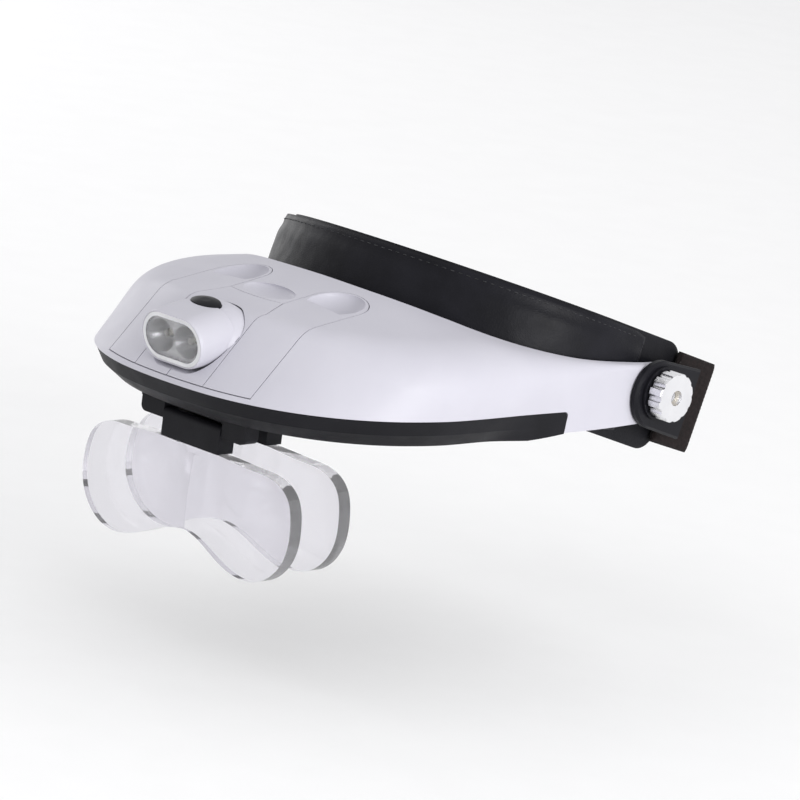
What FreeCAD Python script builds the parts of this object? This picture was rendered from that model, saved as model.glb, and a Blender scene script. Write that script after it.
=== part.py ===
import FreeCAD, Part
import math
import os
import re
import Sketcher

# Head visor magnifier, in millimetres.
# Row frame: the origin is the middle of the temple pivot axis, +X is the wearer's left, the wearer
# looks along -Y, and +Z is up. The lens plates stand upright and the headband is tilted, front up.

V = FreeCAD.Vector
X_AXIS = V(1, 0, 0)
Y_AXIS = V(0, 1, 0)
Z_AXIS = V(0, 0, 1)
SIDES = (("left", 1), ("right", -1))

# ---------------------------------------------------------------- driving dimensions

DIMENSIONS = [
    ("shell_wall", 2.2, "wall of the visor shell"),
    ("seam_level", -5.0, "height of the white shell's lower edge"),
    ("seam_half_width", 81.2, "half width of the lower edge"),
    ("seam_front", 171.6, "reach of the lower edge in front of the pivot"),
    ("seam_power", 2.38, "superellipse power of the lower edge"),
    ("crease_half_width", 87.2, "half width of the crease under the top face"),
    ("crease_front", 147.5, "reach of the crease"),
    ("crease_power", 1.86, "superellipse power of the crease"),
    ("crease_slope", 0.0795, "rise of the crease per millimetre of reach"),
    ("crease_level_reach", 3.6, "reach up to which the crease is level"),
    ("side_start", 79.0, "reach at which the visor is widest"),
    ("roof_slope", 0.25, "rise of the roof per millimetre of inset"),
    ("round_front", 2.6, "reach of the crease's rounding in the middle of the front"),
    ("round_side", 21.0, "reach of the crease's rounding at the sides"),
    ("round_arm", 1.6, "reach of the rounding along the arms' upper edges"),
    ("roof_cut_level", 17.35, "height over the pivot of the plane that ends the roof inside the rim"),
    ("roof_cut_slope", 0.135, "rise of that plane per millimetre of reach"),
    ("arm_outer", 84.1, "outer face of the temple arms"),
    ("arm_straight", 15.0, "reach up to which the arms are straight"),
    ("arm_radius", 11.8, "end radius of the arms, and their depth below the pivot"),
    ("arm_top", 9.6, "height of the arms' upper edge over the pivot"),
    ("rim_half_width", 81.0, "half width of the rim round the head"),
    ("rim_front", 96.5, "reach of the rim"),
    ("rim_straight", 20.0, "reach up to which the rim is straight"),
    ("rim_power", 2.3, "superellipse power of the rim"),
    ("step_reach", 44.5, "reach of the step where the black housing ends"),
    ("housing_floor", -15.8, "underside of the black lower housing"),
    ("part_gap", 0.35, "gap between the doors, the lamp cover and the shell"),
    ("door_inner", 17.8, "inner edge of a battery door beside the lamp"),
    ("door_tail_inner", 13.8, "inner edge of a battery door behind the lamp cover"),
    ("door_outer", 36.6, "outer edge of a battery door"),
    ("door_back", 101.6, "reach of a battery door's round end"),
    ("door_front_level", -3.1, "height of the doors' lower seam"),
    ("cover_back", 129.0, "reach of the lamp cover's back corners"),
    ("cover_taper", 141.0, "reach at which the lamp cover starts to narrow"),
    ("lamp_reach", 150.0, "reach of the lamp's tilt axis"),
    ("lamp_level", 9.5, "height of the lamp's tilt axis"),
    ("lamp_radius", 14.0, "radius of the lamp's barrel"),
    ("bay_gap", 0.5, "gap between the lamp's barrel and the bay that it turns in"),
    ("lamp_half_width", 16.9, "half width of the lamp's barrel"),
    ("lamp_window_reach", 19.2, "distance from the tilt axis to the lamp's face"),
    ("lamp_rise", 3.6, "height of the lamp's window over its tilt axis, square to the beam"),
    ("window_radius", 8.2, "end radius of the lamp's window"),
    ("neck_radius", 9.9, "end radius of the lamp's neck"),
    ("lamp_pivot_radius", 1.2, "radius of the lamp's pivots"),
    ("led_spacing", 12.5, "distance between the two reflectors"),
    ("cell_radius", 5.25, "radius of an AAA cell"),
    ("cell_length", 43.5, "length of an AAA cell's can"),
    ("band_tilt", 17.0, "tilt of the headband, front up, in degrees"),
    ("band_half_width", 79.0, "outer half width of the headband"),
    ("band_reach", 89.5, "reach of the headband along its tilted plane"),
    ("band_straight", 22.5, "reach up to which the headband is straight"),
    ("cover_thickness", 2.0, "thickness of the headband's cover"),
    ("cover_half_height", 19.4, "half height of the headband's cover"),
    ("pad_half_height", 21.05, "half height of the headband's pad"),
    ("pad_thickness", 4.2, "thickness of the headband's pad"),
    ("cheek_radius", 13.0, "end radius of a bracket's cheek"),
    ("cheek_inner", 84.7, "inner face of a bracket's cheek"),
    ("cheek_thickness", 2.8, "thickness of a bracket's cheek"),
    ("cheek_tail", 19.4, "length of a bracket's cheek behind the pivot"),
    ("leg_inner", 75.1, "inner face of a bracket's leg"),
    ("leg_thickness", 1.0, "thickness of a bracket's leg"),
    ("leg_half_height", 11.0, "half height of a bracket's leg"),
    ("boss_radius", 6.0, "radius of the boss between leg and arm"),
    ("screw_radius", 2.0, "radius of a pivot screw"),
    ("knob_radius", 9.3, "outer radius of a knob"),
    ("knob_inner", 89.7, "inner face of a knob"),
    ("knob_thickness", 5.7, "thickness of a knob"),
    ("knob_flute_radius", 1.6, "radius of a knob's flutes"),
    ("knob_flutes", 12, "flutes round a knob"),
    ("recess_radius", 2.9, "radius of the recess in a knob's face"),
    ("strap_half_height", 17.5, "half width of the rear strap"),
    ("strap_thickness", 2.4, "thickness of the rear strap, doubled"),
    ("lens_half_width", 54.0, "half width of a lens plate"),
    ("lens_top", -31.0, "top edge of a lens plate"),
    ("lens_bottom", -71.7, "lowest point of a lens plate's lobes"),
    ("lens_edge", 5.0, "edge thickness of a lens plate"),
    ("lens_curve", 150.0, "radius of a lens surface"),
    ("lens_centre", 31.0, "distance of a lens surface's centre from the middle"),
    ("front_lens_reach", 152.0, "reach of the front lens plate's flat face"),
    ("rear_lens_reach", 127.5, "reach of the rear lens plate's flat face"),
    ("rear_lens_rise", 1.58, "height of the rear lens plate and its holder over the front ones"),
    ("holder_half_width", 14.8, "half width of a lens holder"),
    ("holder_depth", 7.8, "depth of a lens holder from front to back"),
    ("holder_bottom", -30.4, "underside of a lens holder"),
    ("holder_top", -19.8, "top of a lens holder"),
    ("bar_half_width", 27.0, "half width of the rail's bars"),
    ("tongue_half_width", 11.0, "half width of a lens plate's tongue"),
    ("tongue_height", 6.6, "height of a lens plate's tongue"),
    ("tongue_thickness", 3.0, "thickness of a lens plate's tongue"),
    ("hinge_pin_radius", 1.2, "radius of the flip hinge's pin"),
]

doc = FreeCAD.newDocument("HeadVisorMagnifier")
sheet = doc.addObject("Spreadsheet::Sheet", "Dimensions")
for row, (alias, value, note) in enumerate(DIMENSIONS, start=1):
    sheet.set("A%d" % row, "'" + note)
    sheet.set("B%d" % row, str(value))
    sheet.setAlias("B%d" % row, alias)
doc.recompute()


def dim(alias):
    """A driving dimension, read from the sheet."""
    return float(sheet.get(alias))


def ref(text):
    """An expression in which each alias is read from the sheet."""
    return re.sub(r"[a-z][a-z_]+", lambda match: "Dimensions." + match.group(0), text)


def value_of(text):
    """The present value of an expression over the sheet's aliases."""
    sheet.set("D1", "=" + str(text))
    doc.recompute()
    return float(sheet.get("D1"))


# ---------------------------------------------------------------- helpers

NODES = []


def node(obj, label):
    """Name an object as one of the sub-parts that are written out."""
    obj.Label = label
    NODES.append(obj)
    return obj


def place(x=0.0, y=0.0, z=0.0, direction=Z_AXIS):
    """A placement that turns +Z to a direction."""
    return FreeCAD.Placement(V(x, y, z), FreeCAD.Rotation(Z_AXIS, direction))


def tilted():
    """The placement of a piece that is drawn in the headband's own level frame."""
    return FreeCAD.Placement(V(), FreeCAD.Rotation(X_AXIS, -dim("band_tilt")))


def cylinder(name, radius, length, placement):
    obj = doc.addObject("Part::Cylinder", name)
    obj.setExpression("Radius", ref(radius))
    obj.setExpression("Height", ref(length))
    obj.Placement = placement
    return obj


def box(name, length, width, height, low):
    """A box along the axes with its lowest corner at low."""
    obj = doc.addObject("Part::Box", name)
    obj.setExpression("Length", ref(length))
    obj.setExpression("Width", ref(width))
    obj.setExpression("Height", ref(height))
    obj.Placement = place(*low)
    return obj


def fuse(name, *parts):
    obj = doc.addObject("Part::MultiFuse", name)
    obj.Shapes = list(parts)
    return obj


def cut(name, base, *tools):
    """Cut one or more tools from a base."""
    obj = doc.addObject("Part::Cut", name)
    obj.Base = base
    obj.Tool = tools[0] if len(tools) == 1 else fuse(name + "_tools", *tools)
    return obj


def feature(label, shape, placement=None):
    """A sub-part whose shape is worked out in code, drawn in the frame that placement gives."""
    obj = doc.addObject("Part::Feature", label)
    obj.Shape = shape
    if placement is not None:
        obj.Placement = placement.multiply(obj.Placement)
    return node(obj, label)


def solid_box(low, high):
    return Part.makeBox(high[0] - low[0], high[1] - low[1], high[2] - low[2], V(*low))


def new_body(label):
    return node(doc.addObject("PartDesign::Body", label), label)


def new_sketch(body, role, name, offset=0.0):
    """A sketch on one of the body's own origin planes, moved along the plane's normal."""
    sketch = body.newObject("Sketcher::SketchObject", name)
    plane = next(item for item in body.Origin.OriginFeatures if item.Role == role)
    sketch.AttachmentSupport = [(plane, "")]
    sketch.MapMode = "FlatFace"
    sketch.AttachmentOffset = FreeCAD.Placement(V(0, 0, offset), FreeCAD.Rotation())
    return sketch


def add_circle(sketch, radius, x=0.0, y=0.0):
    index = sketch.addGeometry(Part.Circle(V(x, y, 0), Z_AXIS, value_of(radius)))
    constraint = sketch.addConstraint(Sketcher.Constraint("Radius", index, value_of(radius)))
    sketch.setExpression("Constraints[%d]" % constraint, ref(radius))


def add_rectangle(sketch, width, height, x_low, y_low):
    """A rectangle from its lower left corner, with width and height bound to the sheet."""
    wide = value_of(width)
    tall = value_of(height)
    corners = [V(x_low, y_low, 0), V(x_low + wide, y_low, 0)]
    corners += [V(x_low + wide, y_low + tall, 0), V(x_low, y_low + tall, 0)]
    first = sketch.GeometryCount
    for index in range(4):
        sketch.addGeometry(Part.LineSegment(corners[index], corners[(index + 1) % 4]))
    for index in range(4):
        after = first + (index + 1) % 4
        sketch.addConstraint(Sketcher.Constraint("Coincident", first + index, 2, after, 1))
    for index, kind in enumerate(("Horizontal", "Vertical", "Horizontal", "Vertical")):
        sketch.addConstraint(Sketcher.Constraint(kind, first + index))
    sketch.addConstraint(Sketcher.Constraint("DistanceX", -1, 1, first, 1, x_low))
    sketch.addConstraint(Sketcher.Constraint("DistanceY", -1, 1, first, 1, y_low))
    across = sketch.addConstraint(Sketcher.Constraint("DistanceX", first, 1, first, 2, wide))
    upward = sketch.addConstraint(Sketcher.Constraint("DistanceY", first + 1, 1, first + 1, 2, tall))
    sketch.setExpression("Constraints[%d]" % across, ref(width))
    sketch.setExpression("Constraints[%d]" % upward, ref(height))


def pad(body, sketch, length, name, reversed_way=False):
    feature_object = body.newObject("PartDesign::Pad", name)
    feature_object.Profile = sketch
    feature_object.setExpression("Length", ref(length))
    feature_object.Reversed = reversed_way
    return feature_object


def pocket(body, sketch, length, name, reversed_way=False):
    """A pocket that is checked to take material away."""
    doc.recompute()
    before = body.Shape.Volume
    feature_object = body.newObject("PartDesign::Pocket", name)
    feature_object.Profile = sketch
    feature_object.setExpression("Length", ref(length))
    feature_object.Reversed = reversed_way
    doc.recompute()
    if body.Shape.Volume > before - 0.01:
        raise RuntimeError(name + " cuts nothing")
    return feature_object


def spline_edge(points):
    """A spline through points, with the same parameter at the same place in every list."""
    curve = Part.BSplineCurve()
    curve.interpolate(Points=points, Parameters=[float(index) for index in range(len(points))])
    return curve.toShape()


# ---------------------------------------------------------------- outlines of the visor

FRONT_ANGLES = range(0, 91, 9)


def outline(half_width, front, power, straight_width, side_start, straight_start, rear_end=18.0):
    """Half an outline in plan, from the middle of the front to the rear, as (x, y) pairs.

    The front is a quarter of a superellipse. Behind its widest point the width eases to
    straight_width, where the outline runs straight back.
    """
    points = []
    for angle in FRONT_ANGLES:
        turn = math.radians(angle)
        x = half_width * math.sin(turn) ** (2 / power)
        y = -side_start - (front - side_start) * max(0.0, math.cos(turn)) ** (2 / power)
        points.append((x, y))
    steps = 5
    for step in range(1, steps + 1):
        ease = (1 + math.cos(math.pi * step / steps)) / 2
        x = straight_width + (half_width - straight_width) * ease
        y = -side_start + (side_start - straight_start) * step / steps
        points.append((x, y))
    step_length = (side_start - straight_start) / steps
    count = max(1, round((rear_end + straight_start) / step_length))
    for step in range(1, count + 1):
        y = -straight_start + (rear_end + straight_start) * step / count
        points.append((straight_width, y))
    return points


def crease_height(y):
    """Height of the crease: level beside the temple, then rising towards the front."""
    return dim("arm_top") + dim("crease_slope") * max(0.0, -y - dim("crease_level_reach"))


def seam_points(side_inset=0.0, front_inset=0.0):
    plan = outline(
        dim("seam_half_width") - side_inset,
        dim("seam_front") - front_inset,
        dim("seam_power"),
        dim("arm_outer") - side_inset,
        dim("side_start"),
        dim("arm_straight"),
    )
    return [V(x, y, dim("seam_level")) for x, y in plan]


def crease_points(side_inset=0.0, front_inset=0.0, lift=0.0):
    plan = outline(
        dim("crease_half_width") - side_inset,
        dim("crease_front") - front_inset,
        dim("crease_power"),
        dim("arm_outer") - side_inset,
        dim("side_start"),
        dim("arm_straight"),
    )
    return [V(x, y, crease_height(y) + lift) for x, y in plan]


def roof_points(crease, lift):
    """Carry the roof up and inwards from the crease until it meets a slanting plane."""
    level = dim("roof_cut_level") + lift
    slant = dim("roof_cut_slope")
    depth = -crease[0].y - dim("side_start")
    half_width = max(point.x for point in crease)
    points = []
    for point in crease:
        ahead = max(0.0, -point.y - dim("side_start")) / depth
        aside = point.x / half_width
        slope = dim("roof_slope") - dim("crease_slope") * ahead
        inset = (level - slant * point.y - point.z) / (slope + slant * ahead)
        points.append(point + V(-inset * aside, inset * ahead, inset * slope))
    return points


def extended_down(upper, lower, level):
    """Carry the lines from upper to lower on to a level below."""
    points = []
    for high, low in zip(upper, lower):
        scale = (level - low.z) / (low.z - high.z)
        points.append(low + (low - high) * scale)
    return points


def both_sides(half_points):
    """The whole outline from half of it, from the rear of one side round to the other's."""
    return [V(-point.x, point.y, point.z) for point in reversed(half_points[1:])] + half_points


def closed_wire(half_points):
    """A closed wire from half an outline: a spline round the front, and a straight back."""
    points = both_sides(half_points)
    return Part.Wire([spline_edge(points), Part.makeLine(points[-1], points[0])])


def strip_face(rows):
    """A face through splines: flat rulings between two rows, a rounded band for three."""
    curves = []
    for points in rows:
        curve = Part.BSplineCurve()
        places = [float(index) for index in range(2 * len(points) - 1)]
        curve.interpolate(Points=both_sides(points), Parameters=places)
        curves.append(curve)
    poles = [[curve.getPole(index + 1) for curve in curves] for index in range(curves[0].NbPoles)]
    degree = len(rows) - 1
    surface = Part.BSplineSurface()
    surface.buildFromPolesMultsKnots(
        poles,
        curves[0].getMultiplicities(),
        [degree + 1, degree + 1],
        curves[0].getKnots(),
        [0.0, 1.0],
        False,
        False,
        curves[0].Degree,
        degree,
    )
    return surface.toShape()


def rounding_reach(crease):
    """How far the crease's rounding reaches on both of its faces: most at the sides."""
    half_width = max(point.x for point in crease)
    reaches = []
    for point in crease:
        share = (point.x / half_width) ** 2.6
        reach = dim("round_front") + (dim("round_side") - dim("round_front")) * share
        if point.y > -dim("side_start"):
            ease = (-point.y - dim("arm_straight")) / (dim("side_start") - dim("arm_straight"))
            ease = max(0.0, min(1.0, ease)) ** 1.5
            reach = dim("round_arm") + (dim("round_side") - dim("round_arm")) * ease
        reaches.append(reach)
    return reaches


def rounded_dome(lower, crease, upper):
    """A closed solid from a lower outline over a rounded crease to the roof's upper outline."""
    under = []
    over = []
    for low, edge, high, reach in zip(lower, crease, upper, rounding_reach(crease)):
        down = low - edge
        up = high - edge
        under.append(edge + down * (min(reach, 0.62 * down.Length) / down.Length))
        over.append(edge + up * (min(reach, 0.8 * up.Length) / up.Length))
    strips = [strip_face([lower, under]), strip_face([under, crease, over]), strip_face([over, upper])]
    back = lower[-1].y
    ends = []
    for strip in strips:
        ends += [edge for edge in strip.Edges if abs(edge.CenterOfMass.y - back) < 1e-6]
    ends.append(Part.makeLine(V(-lower[-1].x, back, lower[-1].z), lower[-1]))
    ends.append(Part.makeLine(V(-upper[-1].x, back, upper[-1].z), upper[-1]))
    rear = Part.Face(Part.Wire(Part.__sortEdges__(ends)))
    shell = Part.makeCompound(strips + [rear, Part.Face(closed_wire(lower)), Part.Face(closed_wire(upper))])
    shell.sewShape()
    solid = Part.makeSolid(shell.Shells[0])
    if solid.Volume < 0:
        solid.reverse()
    return solid


def dome(sections):
    """A closed solid through several outlines, straight from one to the next."""
    solid = Part.makeLoft([closed_wire(points) for points in sections], True, True)
    if solid.Volume < 0:
        solid.reverse()
    return solid


def visor_dome(side_inset, front_inset, crease_inset, lift):
    """The visor's outside, or its inside when it is inset."""
    seam = seam_points(side_inset, front_inset)
    crease = crease_points(side_inset, crease_inset, lift)
    lower = extended_down(crease, seam, -dim("arm_radius") - 6.0)
    return rounded_dome(lower, crease, roof_points(crease, lift))


def head_prism(outset):
    """The upright prism of the head's space that the rim of the visor goes round."""
    plan = outline(
        dim("rim_half_width") + outset,
        dim("rim_front") + outset,
        dim("rim_power"),
        dim("rim_half_width") + outset,
        dim("rim_straight"),
        5.0,
        30.0,
    )
    wire = closed_wire([V(x, y, -60.0) for x, y in plan])
    return Part.Face(wire).extrude(V(0, 0, 140.0))


def step_tool(clearance):
    """What lies below the seam in front of the step, with the step's upper corner rounded."""
    back = -dim("step_reach") + clearance
    level = dim("seam_level") + clearance
    block = solid_box((-120, -260, -60), (120, back, level))
    corner = [
        edge
        for edge in block.Edges
        if abs(edge.CenterOfMass.y - back) < 1e-6 and abs(edge.CenterOfMass.z - level) < 1e-6
    ]
    return block.makeFillet(2.0, corner)


def arm_end_tool():
    """What lies outside the round ends of the arms, behind the pivot axis and below the arms."""
    radius = dim("arm_radius")
    rear = solid_box((-120, 0, -60), (120, 60, 60))
    round_end = Part.makeCylinder(radius, 240, V(-120, 0, 0), X_AXIS)
    front = -dim("step_reach") - 3
    corners = [V(-120, front, -60), V(-120, 0, -60), V(-120, 0, -radius), V(-120, front, -radius - 1.6)]
    below = Part.Face(Part.makePolygon(corners + corners[:1])).extrude(V(240, 0, 0))
    below = below.fuse(solid_box((-120, -0.1, -60), (120, 60, -radius)))
    return rear.cut(round_end).fuse(below)


# ---------------------------------------------------------------- white visor: wall, doors, lamp cover

wall = dim("shell_wall")
head_space = head_prism(0.0)
outside = visor_dome(0.0, 0.0, 0.0, 0.0).cut(head_space)
cavity = visor_dome(wall + 0.2, wall * 1.6, wall * 0.5, -wall * 0.92)
cavity = cavity.cut(head_prism(wall)).cut(solid_box((-120, -54, -80), (120, 60, 80)))
visor_wall = outside.cut(cavity).cut(step_tool(0.0)).cut(arm_end_tool())
visor_inside = visor_dome(wall + 0.8, wall * 1.6 + 0.8, wall * 0.5 + 0.8, -wall * 0.92 - 0.5)
visor_inside = visor_inside.cut(head_prism(wall + 0.4))


def door_prism(side, outset):
    """The upright prism over one battery door, larger by outset all round."""
    front_inner = dim("door_inner") - outset
    tail_inner = dim("door_tail_inner") - outset
    outer = dim("door_outer") + outset
    radius = (outer - tail_inner) / 2
    middle = (outer + tail_inner) / 2
    back = -dim("door_back") + outset - radius
    level = dim("door_front_level") - outset
    corners = [
        V(outer, back, level),
        V(outer, -190, level),
        V(front_inner, -190, level),
        V(front_inner, -dim("cover_taper"), level),
        V(tail_inner, -dim("cover_back"), level),
        V(tail_inner, back, level),
    ]
    edges = [Part.makeLine(corners[index], corners[index + 1]) for index in range(5)]
    tip = V(middle, back + radius, level)
    edges.append(Part.Arc(corners[5], tip, corners[0]).toShape())
    prism = Part.Face(Part.Wire(edges)).extrude(V(0, 0, 60 - level))
    return prism if side > 0 else prism.mirror(V(), X_AXIS)


def lamp_cover_prism(outset):
    """The upright prism over the lamp cover, between the doors, with a hollow back edge."""
    front_half = dim("door_inner") - dim("part_gap") + outset
    tail_half = dim("door_tail_inner") - dim("part_gap") + outset
    taper = -dim("cover_taper")
    back = -dim("cover_back") + outset
    level = dim("door_front_level") - outset
    bow = 2.0
    corners = [
        V(tail_half, back, level),
        V(front_half, taper, level),
        V(front_half, -190, level),
        V(-front_half, -190, level),
        V(-front_half, taper, level),
        V(-tail_half, back, level),
    ]
    edges = [Part.makeLine(corners[index], corners[index + 1]) for index in range(5)]
    edges.append(Part.Arc(corners[5], V(0, back - bow, level), corners[0]).toShape())
    return Part.Face(Part.Wire(edges)).extrude(V(0, 0, 60 - level))


def scoop(x, y, z, half_x, half_y, depth):
    """An ellipsoid for a finger hollow."""
    ball = Part.makeSphere(1.0)
    matrix = FreeCAD.Matrix()
    matrix.scale(half_x, half_y, depth)
    matrix.move(V(x, y, z))
    return ball.transformGeometry(matrix)


LAMP_AXIS = V(0, -dim("lamp_reach"), dim("lamp_level"))
LAMP_DIP = -10.0
LAMP_TRAVEL = (-2.0, 4.0, 10.0, 15.0, 20.0)


def stadium(radius, start, end):
    """A stadium about the beam, from one distance in front of the tilt axis to another."""
    half = dim("led_spacing") / 2
    middle = solid_box((-half, -end, -radius), (half, -start, radius))
    ends = [Part.makeCylinder(radius, end - start, V(x, -start, 0), Y_AXIS * -1) for x in (-half, half)]
    return middle.fuse(ends).removeSplitter()


def lamp_placement(turn=0.0):
    """The frame of the lamp: its axis as origin, -Y out of the window, dipped a little."""
    return FreeCAD.Placement(LAMP_AXIS, FreeCAD.Rotation(X_AXIS, -LAMP_DIP - turn))


def beam_placement(turn=0.0):
    """The frame of the beam: as the lamp's own, moved up to the middle of the window."""
    return lamp_placement(turn).multiply(place(0, 0, dim("lamp_rise")))


def lamp_opening():
    """The space that the lamp's neck needs over its travel."""
    necks = []
    for turn in LAMP_TRAVEL:
        neck = stadium(dim("neck_radius") + 0.4, 2.0, dim("lamp_window_reach") + 1.0)
        neck.Placement = beam_placement(turn)
        necks.append(neck)
    return necks[0].fuse(necks[1:])


def lamp_barrel(outset):
    """The lamp's barrel, turned about its tilt axis and rounded off towards both ends."""
    half = dim("lamp_half_width")
    fullness = 0.86
    steps = 8
    profile = []
    for step in range(-steps, steps + 1):
        share = abs(step / steps)
        radius = dim("lamp_radius") * math.sqrt(1 - fullness * share ** 2.4)
        profile.append(V(half * step / steps, 0, radius + outset))
    edges = [Part.makeLine(V(-half, 0, 0), profile[0]), spline_edge(profile)]
    edges += [Part.makeLine(profile[-1], V(half, 0, 0)), Part.makeLine(V(half, 0, 0), V(-half, 0, 0))]
    return Part.Face(Part.Wire(edges)).revolve(V(), X_AXIS, 360)


def lamp_bay():
    """The space that the lamp's barrel and its neck need over their travel."""
    half = dim("lamp_half_width") + 0.3
    bay = lamp_barrel(dim("bay_gap")).fuse(Part.makeCylinder(5.0, 2 * half, V(-half, 0, 0), X_AXIS))
    bay.translate(LAMP_AXIS)
    return bay.fuse(lamp_opening())


gap = dim("part_gap")
lamp_hole = lamp_bay()
cell_middle = (dim("door_inner") + dim("door_outer")) / 2
tail_middle = (dim("door_tail_inner") + dim("door_outer")) / 2
tail_half = (dim("door_outer") - dim("door_tail_inner")) / 2


def roof_height(y):
    """Height of the roof over the middle of the visor."""
    return crease_height(y) + dim("roof_slope") * (dim("crease_front") + y)


def build_doors():
    """The two battery doors, each with a finger hollow in its round rear end."""
    ledge = -119.6
    middle = -114.6
    level = roof_height(middle) + 0.7
    keep = solid_box((-60, ledge, -20), (60, -80, 60))
    keep_wall = solid_box((-60, ledge - 1.6, -20), (60, -80, 60))
    for name, side in SIDES:
        inside = door_prism(side, 0.0)
        bowl = scoop(side * tail_middle, middle, level, tail_half - 0.8, 12.4, 6.2)
        thick = scoop(side * tail_middle, middle, level, tail_half + 0.8, 14.0, 7.8)
        cup = thick.common(keep_wall).common(inside).common(outside)
        door = visor_wall.common(inside).fuse(cup).cut(bowl.common(keep))
        feature("battery_door_" + name, door.removeSplitter())


build_doors()


def build_cover():
    """The lamp cover: its roof and front, joined by a trough under the lamp's barrel."""
    half = dim("lamp_half_width") + 0.05
    trough = lamp_barrel(dim("bay_gap") + 1.4)
    trough.translate(LAMP_AXIS)
    for name, side in SIDES:
        trough = trough.cut(door_prism(side, gap))
    sill = solid_box((-half, -175, dim("door_front_level")), (half, -156, dim("door_front_level") + 1.4))
    lining = trough.fuse(sill).common(outside)
    cover = visor_wall.common(lamp_cover_prism(0.0)).fuse(lining).cut(lamp_hole)
    groove = solid_box((-0.25, -180, -4), (0.25, -160, 6)).cut(visor_dome(0.7, 0.9, 0.7, -0.7))
    feature("lamp_cover", cover.cut(groove))


build_cover()

floor_low = dim("housing_floor")
floor_top = floor_low + 2.0
housing_screw_places = [(-62, -112), (62, -112), (-66, -84), (66, -84)]
boss_space = visor_dome(0.9, 1.6, 0.6, -1.0)


def build_shell():
    shell = visor_wall.cut(lamp_hole)
    for name, side in SIDES:
        shell = shell.cut(door_prism(side, gap))
    shell = shell.cut(lamp_cover_prism(gap))
    dimple_middle = -123.5
    dimple_level = roof_height(dimple_middle) + 0.5
    dimple = scoop(0, dimple_middle, dimple_level, 12.4, 7.4, 2.6)
    backing = scoop(0, dimple_middle, dimple_level, 14.0, 9.0, 4.2).common(outside)
    backing = backing.cut(lamp_cover_prism(gap)).cut(door_prism(1, gap)).cut(door_prism(-1, gap))
    shell = shell.fuse(backing).cut(dimple)
    for name, side in SIDES:
        hole = Part.makeCylinder(dim("screw_radius") + 0.08, 20, V(side * 92, 0, 0), X_AXIS * -side)
        shell = shell.cut(hole)
    for x, y in housing_screw_places:
        boss = Part.makeCylinder(3.0, 60, V(x, y, floor_top + 0.05)).common(boss_space)
        bore = Part.makeCylinder(1.32, 6.4, V(x, y, floor_top - 1))
        shell = shell.fuse(boss).cut(bore)
    feature("visor_shell", shell.removeSplitter())


build_shell()

# ---------------------------------------------------------------- black lower housing and what it carries


def housing_loft(inset):
    """The lower housing's outside, or its inside when it is inset."""
    top = dim("seam_level") - 0.2
    floor = dim("housing_floor")
    waist = floor + 5.0
    upright = seam_points(0.2 + inset, 0.4 + inset * 1.3)
    rows = []
    for level, side_inset, front_inset in ((top, 0.2, 0.4), (waist, 2.6, 3.6), (floor, 6.7, 10.6)):
        plan = seam_points(side_inset + inset, front_inset + inset * 1.3)
        row = []
        for steep, slanted in zip(upright, plan):
            ease = (-slanted.y - dim("step_reach")) / (dim("side_start") - dim("step_reach"))
            share = max(0.12, min(1.0, ease))
            row.append(V(steep.x + (slanted.x - steep.x) * share, slanted.y, level))
        rows.append(row)
    return rows


def build_lower_housing():
    outer = dome(housing_loft(0.0)).cut(head_prism(0.25))
    inner = dome(housing_loft(wall)).cut(head_prism(wall + 0.25))
    inner = inner.cut(solid_box((-120, -260, -30), (120, 60, dim("housing_floor") + 2.0)))
    inner = inner.cut(solid_box((-120, -62, -30), (120, 60, 30)))
    back = -dim("step_reach")
    low = dim("housing_floor")
    corners = [V(-120, back - 16, low - 1), V(-120, back + 1, low - 1), V(-120, back + 1, low + 2.4)]
    corners.append(V(-120, back - 16, low))
    rise = Part.Face(Part.makePolygon(corners + corners[:1])).extrude(V(240, 0, 0))
    tray = outer.cut(inner).cut(rise).common(step_tool(-0.2))
    feature("lower_housing", tray)


build_lower_housing()

# Screws that hold the lower housing to the shell, seen from below.
screw_solids = []
for x, y in housing_screw_places:
    shank = Part.makeCylinder(1.3, 6.6, V(x, y, floor_low + 0.3))
    head = Part.makeCylinder(2.6, 1.2, V(x, y, floor_low - 0.8))
    slot = solid_box((x - 2.2, y - 0.3, floor_low - 0.9), (x + 2.2, y + 0.3, floor_low - 0.3))
    screw_solids.append(head.fuse(shank).cut(slot))
housing_screws = feature("housing_screws", Part.Compound(screw_solids))
housing = doc.getObject("lower_housing")
for x, y in housing_screw_places:
    hole = Part.makeCylinder(1.35, 8.0, V(x, y, floor_low - 2))
    hole = hole.fuse(Part.makeCylinder(2.65, 1.25, V(x, y, floor_low - 0.85)))
    housing.Shape = housing.Shape.cut(hole)

# ---------------------------------------------------------------- batteries and their tray

CELL_BACK = -103.1
CELL_LEVEL = 3.4
TRAY_WALL = 1.6


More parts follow.
